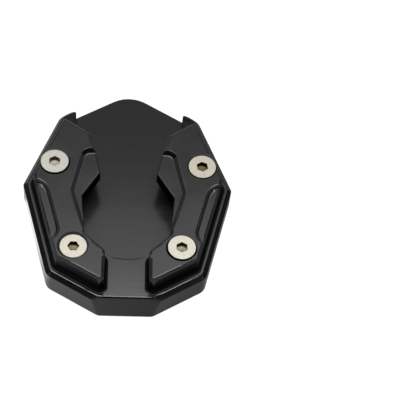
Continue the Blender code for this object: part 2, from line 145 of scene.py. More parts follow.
def math_node(tree: Tree, operation: str, *terms: Socket | float) -> Socket:
    """Add a Math node on one or two sockets or numbers and return its output."""
    return add_node(tree, "ShaderNodeMath", dict(enumerate(terms)), operation=operation).outputs[0]


def split(tree: Tree, vector: Socket) -> bpy.types.NodeOutputs:
    """Split a vector and return the outputs X, Y and Z."""
    return add_node(tree, "ShaderNodeSeparateXYZ", {"Vector": vector}).outputs


def joined(tree: Tree, **parts: Socket | float) -> Socket:
    """Join the parts X, Y and Z, of which any may be left out, to a vector."""
    return add_node(tree, "ShaderNodeCombineXYZ", parts).outputs["Vector"]


def ramp(tree: Tree, value: Socket, start: float, end: float, low: float = 0.0, high: float = 1.0) -> Socket:
    """Turn a socket into a smooth step.

    Args:
        tree: Tree that takes the node.
        value: Socket to map.
        start: Value where the step begins.
        end: Value where it ends.
        low: Result up to the start.
        high: Result from the end on.

    Returns:
        The mapped socket.
    """
    inputs = {"Value": value, "From Min": start, "From Max": end, "To Min": low, "To Max": high}
    return add_node(tree, "ShaderNodeMapRange", inputs, interpolation_type="SMOOTHSTEP").outputs["Result"]


def stretch(tree: Tree, value: Socket, low: float, high: float) -> Socket:
    """Map a noise, which mostly lies between 0.3 and 0.7, to another span.

    Args:
        tree: Tree that takes the node.
        value: The noise.
        low: Result for its low values.
        high: Result for its high values.

    Returns:
        The mapped socket.
    """
    inputs = {"Value": value, "From Min": NOISE_LOW, "From Max": NOISE_HIGH, "To Min": low, "To Max": high}
    return add_node(tree, "ShaderNodeMapRange", inputs).outputs["Result"]


def mixed(tree: Tree, share: Socket, first: Socket | tuple, second: Socket | tuple, blend: str = "MIX") -> Socket:
    """Mix two colours.

    Args:
        tree: Tree that takes the node.
        share: How much of the second one shows.
        first: Colour for a share of 0.
        second: Colour for a share of 1.
        blend: Name of the blend type.

    Returns:
        The mixed colour.
    """
    inputs = {"Factor": share, "A": first, "B": second}
    return add_node(tree, "ShaderNodeMix", inputs, data_type="RGBA", blend_type=blend).outputs["Result"]


def noise(tree: Tree, place: Socket, scale: Socket | float, **details: float) -> Socket:
    """Add a noise texture with the given Detail and Roughness and return its value."""
    return add_node(tree, "ShaderNodeTexNoise", {"Vector": place, "Scale": scale, **details}).outputs["Fac"]


def bump(tree: Tree, height: Socket, distance: float, **below: Socket) -> Socket:
    """Add a bump, over the Normal of another one if given, and return its normal."""
    inputs = {"Strength": 1.0, "Distance": distance, "Height": height, **below}
    return add_node(tree, "ShaderNodeBump", inputs).outputs["Normal"]


def object_place(tree: Tree) -> Socket:
    """Return the object coordinates."""
    return add_node(tree, "ShaderNodeTexCoord").outputs["Object"]


def named_value(tree: Tree, name: str) -> Socket:
    """Read a named attribute of the geometry."""
    inputs = {"Name": name}
    return add_node(tree, "GeometryNodeInputNamedAttribute", inputs, data_type="FLOAT").outputs["Attribute"]


def new_group(name: str, inputs: dict, outputs: tuple) -> tuple:
    """Start a shader node group with named sockets.

    Args:
        name: Name of the group.
        inputs: Default value by the name of each number that goes in beside the vector.
        outputs: Names of the numbers that come out.

    Returns:
        The tree, the outputs of its input node, and its output node.
    """
    tree = bpy.data.node_groups.new(name, "ShaderNodeTree")
    tree.interface.new_socket(name="Vector", in_out="INPUT", socket_type="NodeSocketVector")
    for label, value in inputs.items():
        tree.interface.new_socket(name=label, in_out="INPUT", socket_type="NodeSocketFloat").default_value = value
    for label in outputs:
        tree.interface.new_socket(name=label, in_out="OUTPUT", socket_type="NodeSocketFloat")
    return tree, tree.nodes.new("NodeGroupInput").outputs, tree.nodes.new("NodeGroupOutput")


def new_material(name: str, constants: dict) -> tuple:
    """Start a material.

    Args:
        name: Name of the material.
        constants: Value by the name of the shader's input.

    Returns:
        The material, its tree and its shader.
    """
    material = bpy.data.materials.new(name)
    material.use_nodes = True
    shader = material.node_tree.nodes["Principled BSDF"]
    feed(material.node_tree, shader, constants)
    return material, material.node_tree, shader


def add_object(name: str, data: bpy.types.ID) -> bpy.types.Object:
    """Put a new object into the scene.

    Args:
        name: Name of the object.
        data: Its mesh, light or camera.

    Returns:
        The new object.
    """
    item = bpy.data.objects.new(name, data)
    bpy.context.scene.collection.objects.link(item)
    return item


def applied(piece: bpy.types.Object) -> bpy.types.Mesh:
    """Work out a piece's modifiers.

    Args:
        piece: Object with live modifiers.

    Returns:
        A plain mesh of what they make.
    """
    bpy.context.view_layer.update()
    graph = bpy.context.evaluated_depsgraph_get()
    return bpy.data.meshes.new_from_object(piece.evaluated_get(graph))


def middle_of(edge: bmesh.types.BMEdge) -> Vector:
    """Return the middle of an edge."""
    return (edge.verts[0].co + edge.verts[1].co) / 2


@dataclass
class SurfaceEffects:
    """Node groups that several finishes share, each built once."""

    fine_detail: float = 3.0
    fine_roughness: float = 0.6
    broad_scale: float = 0.17
    broad_detail: float = 2.0
    cloud_scale: float = 60.0
    cloud_detail: float = 3.0
    grain_detail: float = 2.0

    def __post_init__(self) -> None:
        """Build the groups."""
        self.cutter_lines = self._cutter_lines()
        self.anodic_mottle = self._anodic_mottle()

    def _cutter_lines(self) -> Tree:
        """Fine irregular lines that a mill leaves along one direction.

        Returns:
            Group with the height of the lines and a tone that varies from line to line.
        """
        tree, source, sink = new_group(
            "cutter_lines", {"Along": 15.0, "Across": 3000.0, "Turn": 0.0}, ("Height", "Tone"))
        inputs = {"Vector": source["Vector"], "Angle": source["Turn"]}
        turned = add_node(tree, "ShaderNodeVectorRotate", inputs, rotation_type="Z_AXIS").outputs["Vector"]
        parts = split(tree, turned)
        across = {axis: math_node(tree, "MULTIPLY", parts[axis], source["Across"]) for axis in "YZ"}
        lines = joined(tree, X=math_node(tree, "MULTIPLY", parts["X"], source["Along"]), **across)
        feed(tree, sink, {
            "Height": noise(tree, lines, 1.0, Detail=self.fine_detail, Roughness=self.fine_roughness),
            "Tone": noise(tree, lines, self.broad_scale, Detail=self.broad_detail),
        })
        return tree

    def _anodic_mottle(self) -> Tree:
        """Faint clouds and grains of an anodised surface.

        Returns:
            Group with a slow cloud and a fine grain, both from 0 to 1.
        """
        tree, source, sink = new_group("anodic_mottle", {"Grain Scale": 4000.0}, ("Cloud", "Grain"))
        feed(tree, sink, {
            "Cloud": noise(tree, source["Vector"], self.cloud_scale, Detail=self.cloud_detail),
            "Grain": noise(tree, source["Vector"], source["Grain Scale"], Detail=self.grain_detail),
        })
        return tree


@dataclass(frozen=True)
class AnodisedFinish:
    """Black anodised aluminium as one tool left it."""

    name: str
    grain: Grain = Grain.MILLED
    tone: tuple = (0.0025, 0.0025, 0.0026)
    tone_spread: float = 0.25
    ior: float = 1.55
    shine: float = 0.5
    roughness: float = 0.2
    spread: float = 0.05
    line_height: float = 0.004 * MM
    line_turn: float = 0.0
    along: float = 25.0
    across: float = 2600.0
    grain_height: float = 0.002 * MM
    # pale, pale_from, pale_to and pale_least set a painted sheen: the tone turns paler towards the front, most on the
    # raised cutter lines.
    pale: float = 0.0
    pale_from: float = 10.0 * MM
    pale_to: float = -45.0 * MM
    pale_least: float = 0.4

    def material(self, effects: SurfaceEffects) -> bpy.types.Material:
        """Build the material.

        Args:
            effects: Shared node groups.

        Returns:
            A material on object coordinates.
        """
        material, tree, shader = new_material(
            self.name, {"Metallic": 0.0, "IOR": self.ior, "Specular IOR Level": self.shine})
        place = object_place(tree)
        mottle = add_node(tree, "ShaderNodeGroup", {"Vector": place}, node_tree=effects.anodic_mottle).outputs
        inputs = {"Vector": place, "Along": self.along, "Across": self.across, "Turn": self.line_turn}
        lines = add_node(tree, "ShaderNodeGroup", inputs, node_tree=effects.cutter_lines).outputs
        dark, light = (
            (*(share * part for part in self.tone), 1.0) for share in (1.0 - self.tone_spread, 1.0 + self.tone_spread)
        )
        color = mixed(tree, mottle["Cloud"], dark, light)
        # Painted sheen: paler towards the front (-Y), along the cutter lines, in place of the brighter reflection
        # there.
        if self.pale:
            forward = ramp(tree, split(tree, place)["Y"], self.pale_from, self.pale_to)
            painted_sheen = math_node(tree, "MULTIPLY", forward, stretch(tree, lines["Height"], self.pale_least, 1.0))
            color = mixed(tree, painted_sheen, color, (self.pale, self.pale, self.pale, 1.0))
        varied = lines["Tone"] if self.grain is Grain.MILLED else mottle["Cloud"]
        lined = bump(tree, lines["Height"], self.line_height)
        feed(tree, shader, {
            "Base Color": color,
            "Roughness": stretch(tree, varied, self.roughness - self.spread, self.roughness + self.spread),
            "Normal": bump(tree, mottle["Grain"], self.grain_height, Normal=lined),
        })
        return material


@dataclass(frozen=True)
class PlatedFinish:
    """Warm plated steel of the screws."""

    name: str
    tone: tuple
    aged_tone: tuple
    roughness: float
    spread: float = 0.06
    stain: tuple = (0.78, 0.8, 0.82)
    grain_scale: float = 1500.0
    grain_height: float = 0.006 * MM

    def material(self, effects: SurfaceEffects) -> bpy.types.Material:
        """Build the material.

        Args:
            effects: Shared node groups.

        Returns:
            A material on object coordinates and the mesh's own "age".
        """
        material, tree, shader = new_material(self.name, {"Metallic": 1.0})
        inputs = {"Vector": object_place(tree), "Grain Scale": self.grain_scale}
        grain = add_node(tree, "ShaderNodeGroup", inputs, node_tree=effects.anodic_mottle).outputs["Grain"]
        age = add_node(tree, "ShaderNodeAttribute", attribute_name="age").outputs["Fac"]
        # The aged tone comes in by the mesh's attribute; in the socket it adds painted shade as well as yellowing.
        plating = mixed(tree, age, (*self.tone, 1.0), (*self.aged_tone, 1.0))
        stained = stretch(tree, grain, 0.0, 1.0)
        feed(tree, shader, {
            "Base Color": mixed(tree, stained, plating, (*self.stain, 1.0), "MULTIPLY"),
            "Roughness": stretch(tree, grain, self.roughness - self.spread, self.roughness + self.spread),
            "Normal": bump(tree, grain, self.grain_height),
        })
        return material


@dataclass(frozen=True)
class FloorFinish:
    """Matt white table, plain white to the camera; to other rays its emission is painted light: a glow on the left of
    the part, most beside its left wall, fading far away.
    """

    name: str = "white_table"
    tone: float = 0.12
    roughness: float = 0.9
    left_glow: float = 0.62
    right_glow: float = 0.16
    left_x: float = -70.0 * MM
    right_x: float = 60.0 * MM
    near: float = 75.0 * MM
    far: float = 130.0 * MM
    far_glow: float = 0.2
    wall_glow: float = 1.5
    wall_x: tuple = (-41.0 * MM, -34.0 * MM)
    wall_y: tuple = (5.0 * MM, -2.0 * MM)

    def material(self) -> bpy.types.Material:
        """Build the material.

        Returns:
            A material that is plain white to the camera and dimmer in reflections.
        """
        material, tree, shader = new_material(self.name, {
            "Roughness": self.roughness,
            "Specular IOR Level": 0.0,
            "Base Color": (self.tone, self.tone, self.tone, 1.0),
            "Emission Color": WHITE,
        })
        calculate = partial(math_node, tree)
        place = object_place(tree)
        parts = split(tree, place)
        # Painted light: a pool of emission for the metal to mirror, strong on the left, strongest in a strip beside
        # the left wall, fainter far from the part.
        across = ramp(tree, parts["X"], self.left_x, self.right_x, self.left_glow, self.right_glow)
        beside = ramp(tree, parts["X"], *self.wall_x, self.wall_glow, 0.0)
        strip = calculate("MULTIPLY", beside, ramp(tree, parts["Y"], *self.wall_y))
        away = add_node(tree, "ShaderNodeVectorMath", {0: place}, operation="LENGTH").outputs["Value"]
        pool = ramp(tree, away, self.near, self.far, 1.0, self.far_glow)
        glow = calculate("MULTIPLY", calculate("MAXIMUM", across, strip), pool)
        seen = add_node(tree, "ShaderNodeLightPath").outputs["Is Camera Ray"]
        feed(tree, shader, {"Emission Strength": calculate("MAXIMUM", glow, seen)})
        return material


MILLED_FINISHES = {
    Zone.TOP: AnodisedFinish("satin_black_top", Grain.SATIN),
    # The pocket floor and the lip carry a painted sheen that is paler towards the front.
    Zone.FLOOR: AnodisedFinish(
        "brushed_pocket_floor", roughness=0.22, spread=0.03, shine=0.38, line_height=0.009 * MM, along=18.0,
        pale=0.023, pale_from=20.0 * MM, pale_to=-22.0 * MM),
    Zone.LIP: AnodisedFinish(
        "brushed_lip", spread=0.04, line_height=0.012 * MM, along=60.0, across=2200.0, pale=0.04,
        pale_from=-34.0 * MM, pale_to=-58.0 * MM),
    # Painted shade: no reflection at all, so these faces stay black.
    Zone.RIM: AnodisedFinish("painted_shade_arc_rim", Grain.SATIN, roughness=0.3, shine=0.0),
    Zone.WALL: AnodisedFinish(
        "rippled_black_wall", roughness=0.32, shine=0.05, line_height=0.03 * MM, along=90.0, across=1600.0),
    Zone.SIDE: AnodisedFinish("milled_black_side", line_height=0.006 * MM, along=60.0, across=900.0),
    Zone.CHAMFER: AnodisedFinish("satin_black_chamfer", Grain.SATIN, roughness=0.22),
    Zone.TUMBLED: AnodisedFinish(
        "tumbled_black_chamfer", Grain.SATIN, roughness=0.52, spread=0.08, shine=0.8, grain_height=0.004 * MM),
    Zone.STEP: AnodisedFinish(
        "milled_black_step", roughness=0.5, shine=1.0, line_height=0.02 * MM, along=90.0, across=1600.0),
    Zone.LOBE: AnodisedFinish(
        "coarse_black_lobe", roughness=0.26, shine=0.2, line_height=0.02 * MM, line_turn=math.radians(35),
        along=40.0, across=1300.0, grain_height=0.006 * MM),
    Zone.SOLE: AnodisedFinish(
        "brushed_sole", tone=(0.006, 0.0065, 0.0075), roughness=0.38, spread=0.1, line_height=0.01 * MM, along=20.0),
}


class Workshop:
    """The finishes of the part, each made once."""

    def __init__(self) -> None:
        """Build every material."""
        effects = SurfaceEffects()
        self.zones = {zone: finish.material(effects) for zone, finish in MILLED_FINISHES.items()}
        self.steel, self.rim, self.socket = (finish.material(effects) for finish in (
            PlatedFinish("warm_plated_steel", (0.44, 0.42, 0.375), (0.43, 0.405, 0.33), 0.45),
            # The head's rim below its top is painted shade: nearly black plated steel, where the rim mirrors the
            # black plate.
            PlatedFinish("painted_shade_head_rim", (0.012, 0.012, 0.011), (0.012, 0.011, 0.009), 0.6),
            # The socket's tone, darker than the steel, is partly real yellowing and partly painted shade in the
            # recess; the aged tone is darker still.
            PlatedFinish("yellowed_shaded_socket", (0.27, 0.255, 0.21), (0.11, 0.083, 0.036), 0.42),
        ))


@dataclass
class MachinedPiece:
    """A milled piece: its solid with the rounding that tumbling gives every edge.

    The values whose names end in _up are limits of the Z of a face's normal.
    """

    node: str
    slot: str
    broken_edge: float = 0.34 * MM
    fine_edge: float = 0.14 * MM
    widest: float = 0.5 * MM
    rounding_steps: int = 2
    flat_up: float = 0.99
    top_up: float = 0.97
    chamfer_up: float = 0.25
    sole_up: float = -0.7
    shortest: float = 0.2 * MM
    longest: float = 2.5 * MM
    same_point: float = 0.0005 * MM
    same_face: float = math.radians(0.4)
    crease: float = math.radians(24)
    small_flat: float = 3.0 * MM * MM
    hidden_level: float = 16.3 * MM
    hidden_margin: float = 0.4 * MM
    strayed: float = 0.4
    turned_over: float = 0.1
    sliver: float = 0.002 * MM * MM
    rounds: int = 12
    mesh: bpy.types.Mesh | None = field(default=None, init=False, repr=False)

    def prepare(self, bm: bmesh.types.BMesh) -> None:
        """Cut the rims that are wider than the broken edges; a plain piece has none.

        Args:
            bm: The closed copy.
        """

    def closed_copy(self, source: bpy.types.Object) -> bmesh.types.BMesh:
        """Copy the solid, close it, and cut its long edges into short ones.

        Args:
            source: The solid's object.

        Returns:
            A closed mesh whose flat faces are whole.
        """
        bm = bmesh.new()
        bm.from_mesh(source.data)
        bmesh.ops.remove_doubles(bm, verts=bm.verts, dist=self.same_point)
        bmesh.ops.dissolve_limit(
            bm, angle_limit=self.same_face, verts=bm.verts, edges=bm.edges, use_dissolve_boundaries=False)
        bmesh.ops.dissolve_degenerate(bm, dist=self.shortest, edges=bm.edges)
        self.prepare(bm)
        for edge in list(bm.edges):
            pieces = int(edge.calc_length() / self.longest) + 1
            start = edge.verts[0]
            for left in range(pieces, 1, -1):
                start = bmesh.utils.edge_split(edge, start, 1.0 / left)[1]
        for face in bm.faces:
            face.smooth = True
        return bm

    def is_shown(self, face: bmesh.types.BMFace) -> bool:
        """Tell whether a face of the closed copy is a flat that looks up and isn't covered.

        Args:
            face: Face to judge.

        Returns:
            True for the flats whose edges were broken by hand.
        """
        off_hidden = abs(face.calc_center_median().z - self.hidden_level) > self.hidden_margin
        return face.normal.z > self.flat_up and face.calc_area() > self.small_flat and off_hidden

    def edge_width(self, edge: bmesh.types.BMEdge) -> float:
        """Say how wide a crease of the closed copy was broken."""
        return self.broken_edge if any(self.is_shown(face) for face in edge.link_faces) else self.fine_edge

    def weigh(self, bm: bmesh.types.BMesh) -> None:
        """Give each crease the share of the widest rounding that it gets.

        Args:
            bm: The closed copy.
        """
        layer = bm.edges.layers.float.new("bevel_weight_edge")
        for edge in bm.edges:
            if edge.calc_face_angle(0.0) > self.crease:
                edge[layer] = self.edge_width(edge) / self.widest

    def rounded(self, bm: bmesh.types.BMesh) -> bpy.types.Mesh:
        """Round the creases by their weights, and leave those without one sharp.

        Args:
            bm: The closed copy.

        Returns:
            A plain mesh.
        """
        layer = bm.edges.layers.float["bevel_weight_edge"]
        for edge in bm.edges:
            edge.smooth = edge[layer] > 0.0 or edge.calc_face_angle(0.0) <= self.crease
        mesh = bpy.data.meshes.new(f"{self.node}_deburred")
        bm.to_mesh(mesh)
        piece = add_object(f"{self.node}_rounding", mesh)
        rounding = piece.modifiers.new("deburr", "BEVEL")
        rounding.width = self.widest
        rounding.segments = self.rounding_steps
        rounding.limit_method = "WEIGHT"
        rounding.use_clamp_overlap = False
        rounding.miter_outer = "MITER_ARC"
        plain = applied(piece)
        bpy.data.objects.remove(piece)
        bpy.data.meshes.remove(mesh)
        return plain

    def faults(self, mesh: bpy.types.Mesh, surface: BVHTree) -> list:
        """Find where the rounding ran out of room and folded over.

        Args:
            mesh: The rounded mesh.
            surface: The solid's own surface.

        Returns:
            The places of the folded triangles and of the corners that left the surface.
        """
        reach = self.strayed * self.widest
        places = [corner.co.copy() for corner in mesh.vertices if surface.find_nearest(corner.co)[3] > reach]
        mesh.calc_loop_triangles()
        for triangle in mesh.loop_triangles:
            corners = [mesh.vertices[index].co for index in triangle.vertices]
            normal = surface.find_nearest(sum(corners, Vector()) / 3)[1]
            if triangle.normal.dot(normal) < self.turned_over and triangle.area > self.sliver:
                places.extend(corner.copy() for corner in corners)
        return places

    def rounded_mesh(self, source: bpy.types.Object) -> bpy.types.Mesh:
        """Copy the solid and round its creases as far as there is room.

        Args:
            source: The solid's object.

        Returns:
            The rounded mesh.
        """
        bm = self.closed_copy(source)
        self.weigh(bm)
        layer = bm.edges.layers.float["bevel_weight_edge"]
        surface = BVHTree.FromBMesh(bm)
        for attempt in range(self.rounds):
            mesh = self.rounded(bm)
            places = self.faults(mesh, surface)
            LOG.info("%s: %d folds in round %d", self.node, len(places), attempt)
            if not places or attempt == self.rounds - 1:
                break
            near = KDTree(len(places))
            for index, place in enumerate(places):
                near.insert(place, index)
            near.balance()
            for edge in bm.edges:
                reach = edge.calc_length() / 2 + 2 * self.broken_edge
                if edge[layer] and near.find(middle_of(edge))[2] < reach:
                    wide = edge[layer] * self.widest > self.fine_edge and attempt < self.rounds / 2
                    edge[layer] = edge[layer] * 0.5 if wide else 0.0
        bm.free()
        mesh.materials.clear()
        return mesh

    def zone_of(self, normal: Vector, centre: Vector) -> Zone:
        """Say how a face was cut.

        Args:
            normal: The face's outward normal.
            centre: The face's centre.

        Returns:
            Its zone.
        """
        if normal.z < self.sole_up:
            return Zone.SOLE
        if normal.z > self.top_up:
            return Zone.TOP
        return Zone.CHAMFER if normal.z > self.chamfer_up else Zone.WALL

    def dress(self, piece: bpy.types.Object, shop: Workshop) -> None:
        """Give each face the finish of its zone.

        Args:
            piece: Object to dress.
            shop: The finishes.
        """
        order = list(Zone)
        for zone in order:
            piece.data.materials.append(shop.zones[zone])
        for face in piece.data.polygons:
            face.material_index = order.index(self.zone_of(face.normal, face.center))

    def placed(self, mesh: bpy.types.Mesh, shop: Workshop) -> bpy.types.Object:
        """Make an object of a rounded mesh, dress it and put it in place of the piece's solid.

        Args:
            mesh: The rounded mesh.
            shop: The finishes.

        Returns:
            The finished object, whose flats are shaded flat beside their rounded edges.
        """
        piece = add_object(f"{self.node}_deburred", mesh)
        flats = piece.modifiers.new("flats", "WEIGHTED_NORMAL")
        flats.mode = "FACE_AREA"
        flats.weight = 100
        flats.keep_sharp = True
        plain = applied(piece)
        piece.modifiers.remove(flats)
        piece.data = plain
        self.dress(piece, shop)
        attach(piece, ROOT)
        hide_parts(self.node)
        return piece

    def build(self, frame: dict, shop: Workshop) -> bpy.types.Object:
        """Make the piece and put it in place of its solid.

        Args:
            shop: The finishes.

        Returns:
            The finished object.
        """
        self.mesh = self.rounded_mesh(frame["nodes"][self.node])
        return self.placed(self.mesh.copy(), shop)


@dataclass
class ClampPlate(MachinedPiece):
    """A clamp plate, whose mirror image is its twin on the other side.

    The values whose names end in _back are limits of the Y of a face's normal.
    """

    wing_level: float = 20.3 * MM
    wing_margin: float = 0.1 * MM
    wing_edge: float = 0.5 * MM
    wing_root: float = -12.0 * MM
    wall_back: float = -0.2
    step_level: float = 21.3 * MM
    step_margin: float = 0.2 * MM
    step_back: float = -0.35
    tumbled_up: float = 0.8

    def edge_width(self, edge: bmesh.types.BMEdge) -> float:
        """Give the wing's outer edges a wider rounding than the others.

        Args:
            edge: Crease of the closed copy.

        Returns:
            The width of its rounding.
        """
        for face in edge.link_faces:
            on_wing = abs(face.calc_center_median().z - self.wing_level) < self.wing_margin
            if on_wing and edge.is_convex and self.is_shown(face):
                return self.wing_edge
        return super().edge_width(edge)

    def zone_of(self, normal: Vector, centre: Vector) -> Zone:
        """Tell the tumbled chamfers, the wing's step and its front walls from the other faces.

        Args:
            normal: The face's outward normal.
            centre: The face's centre.

        Returns:
            Its zone.
        """
        zone = super().zone_of(normal, centre)
        # Walls under the wing that face the pocket get the painted shade of Zone.RIM.
        faces_pocket = normal.x * centre.x < 0.0 and normal.y < self.wall_back
        if zone is Zone.WALL and faces_pocket and centre.y > self.wing_root and centre.z < self.wing_level:
            return Zone.RIM
        if zone is not Zone.CHAMFER or normal.z > self.tumbled_up:
            return zone
        if abs(centre.z - self.step_level) > self.step_margin:
            return Zone.TUMBLED
        return Zone.WALL if normal.y < self.step_back else Zone.STEP

    def twin(self, node: str, shop: Workshop) -> bpy.types.Object:
        """Make the mirror image of the clamp in place of another solid.

        Args:
            node: The other clamp's solid.
            shop: The finishes.

        Returns:
            The finished object.
        """
        bm = bmesh.new()
        bm.from_mesh(self.mesh)
        bmesh.ops.scale(bm, vec=(-1.0, 1.0, 1.0), verts=bm.verts)
        bmesh.ops.reverse_faces(bm, faces=bm.faces)
        mesh = bpy.data.meshes.new(f"{node}_deburred")
        bm.to_mesh(mesh)
        bm.free()
        return ClampPlate(node, self.slot).placed(mesh, shop)


@dataclass
class SolePlate(MachinedPiece):
    """The sole plate with its pocket, lip, lobes and rails.

    The value arc_back is the least Y of a normal on the rim of the lip's arc.
    """

    shortest: float = 0.1 * MM
    broken_edge: float = 0.42 * MM
    floor_level: float = 6.2 * MM
    floor_margin: float = 1.0 * MM
    lip_level: float = 13.25 * MM
    level_margin: float = 0.01 * MM
    rail_margin: float = 0.004 * MM
    cut_margin: float = 0.001 * MM
    lobe_y: float = 33.0 * MM
    lip_x: float = 9.3 * MM
    lip_y: float = -34.0 * MM
    arc_rim: float = 0.75 * MM
    arc_y: tuple = (-42.0 * MM, -30.0 * MM)
    arc_x: float = 7.9 * MM
    arc_back: float = 0.2
    front_rim: float = 0.5 * MM
    front_x: float = 13.5 * MM
    front_y: tuple = (-1.0, -50.0 * MM)

    def prepare(self, bm: bmesh.types.BMesh) -> None:
        """Mark off the lip and the lobes, chamfer the lip's front edge and round its rear one.

        Args:
            bm: The closed copy.
        """
        for place, side in (
            ((0.0, self.lobe_y, 0.0), (0.0, 1.0, 0.0)),
            ((self.lip_x, 0.0, 0.0), (1.0, 0.0, 0.0)),
            ((-self.lip_x, 0.0, 0.0), (1.0, 0.0, 0.0)),
        ):
            tops = [
                face for face in bm.faces
                if face.normal.z > self.flat_up
                and abs(face.calc_center_median().z - self.lip_level) < self.level_margin
            ]
            edges = {edge for face in tops for edge in face.edges}
            corners = {vertex for face in tops for vertex in face.verts}
            bmesh.ops.bisect_plane(
                bm, geom=[*tops, *edges, *corners], dist=self.cut_margin, plane_co=place, plane_no=side)
        for span, half, width, steps in (
            (self.front_y, self.front_x, self.front_rim, 1),
            (self.arc_y, self.arc_x, self.arc_rim, 4),
        ):
            rim = [edge for edge in bm.edges if self.is_lip_edge(edge, span, half)]
            ends = {vertex for edge in rim for vertex in edge.verts}
            bmesh.ops.bevel(
                bm, geom=[*rim, *ends], offset=width, offset_type="OFFSET", segments=steps, profile=0.5,
                affect="EDGES", clamp_overlap=False, material=-1)

    def is_lip_edge(self, edge: bmesh.types.BMEdge, span: tuple, half: float) -> bool:
        """Tell whether an edge is a rim of the lip.

        Args:
            edge: Edge of the closed copy.
            span: Lowest and highest Y of its middle.
            half: Greatest distance of its middle from the plane of symmetry.

        Returns:
            True for a convex crease at the lip's level.
        """
        middle = middle_of(edge)
        on_lip = all(abs(vertex.co.z - self.lip_level) < self.level_margin for vertex in edge.verts)
        inside = span[0] < middle.y < span[1] and abs(middle.x) < half
        return on_lip and inside and edge.is_convex and edge.calc_face_angle(0.0) > self.crease

    def zone_of(self, normal: Vector, centre: Vector) -> Zone:
        """Tell the floor, the lip, the lobes, the rails and the outer sides from the other faces.

        Args:
            normal: The face's outward normal.
            centre: The face's centre.

        Returns:
            Its zone.
        """
        if centre.z > self.lip_level + self.rail_margin and normal.z > 0.0:
            return Zone.WALL
        if normal.z > self.top_up:
            if centre.z < self.floor_level + self.floor_margin:
                return Zone.FLOOR
            if centre.y > self.lobe_y:
                return Zone.LOBE
            if centre.y < self.lip_y and abs(centre.x) < self.lip_x:
                return Zone.LIP
        zone = super().zone_of(normal, centre)
        # The rounding behind the lip's arc gets the painted shade of Zone.RIM, a dark line along the arc.
        if zone is Zone.CHAMFER and normal.y > self.arc_back and centre.y < self.arc_y[1]:
            return Zone.RIM
        outward = normal.x * centre.x + normal.y * centre.y > 0.0
        return Zone.SIDE if zone is Zone.WALL and outward and centre.z < self.lip_level else zone


@dataclass(frozen=True)
class Softbox:
    """Rectangular light that faces the part."""

    name: str
    place: tuple
    size: tuple
    radiance: float

    def hang(self) -> None:
        """Put the light into the scene."""
        data = bpy.data.lights.new(self.name, "AREA")
        data.shape = "RECTANGLE"
        data.size, data.size_y = self.size
        data.energy = self.radiance * math.pi * self.size[0] * self.size[1]
        light = add_object(self.name, data)
        light.location = self.place
        light.rotation_euler = Vector(self.place).to_track_quat("Z", "Y").to_euler()


@dataclass(frozen=True)
class Room:
    """Room that the metal mirrors: pale behind and low in front, dark above, beside and high in front.

    Two limits are the X, Y or Z of a direction where one level starts to pass into the next and where it ends.
    """

    front_wall: float = 0.02
    rear_wall: float = 0.5
    rear_limits: tuple = (-0.55, 0.1)
    ceiling: float = 0.1
    ceiling_limits: tuple = (0.3, 0.65)
    side_walls: float = 0.08
    side_limits: tuple = (0.45, 0.72)
    front_horizon: float = 0.6
    horizon_limits: tuple = (0.28, 0.42)
    front_limits: tuple = (-0.15, -0.35)

    def build(self) -> None:
        """Make it the scene's world, plain white to the camera."""
        world = bpy.data.worlds.new("room")
        world.use_nodes = True
        tree = world.node_tree
        tree.nodes.clear()
        calculate = partial(math_node, tree)
        parts = split(tree, add_node(tree, "ShaderNodeTexCoord").outputs["Generated"])
        depth = ramp(tree, parts["Y"], *self.rear_limits, self.front_wall, self.rear_wall)
        height = ramp(tree, parts["Z"], *self.ceiling_limits, 1.0, self.ceiling)
        breadth = ramp(tree, calculate("ABSOLUTE", parts["X"]), *self.side_limits, 1.0, self.side_walls)
        horizon = ramp(tree, parts["Z"], *self.horizon_limits, self.front_horizon, 0.0)
        ahead = ramp(tree, parts["Y"], *self.front_limits)
        walls = calculate("MULTIPLY", calculate("MULTIPLY", depth, height), breadth)
        level = calculate("ADD", walls, calculate("MULTIPLY", horizon, ahead))
        mirrored, seen = (
            add_node(tree, "ShaderNodeBackground", {"Color": WHITE, "Strength": strength}).outputs["Background"]
            for strength in (level, 1.0)
        )
        rays = add_node(tree, "ShaderNodeLightPath").outputs["Is Camera Ray"]
        mix = add_node(tree, "ShaderNodeMixShader", {"Fac": rays, 1: mirrored, 2: seen})
        add_node(tree, "ShaderNodeOutputWorld", {"Surface": mix.outputs["Shader"]})
        bpy.context.scene.world = world


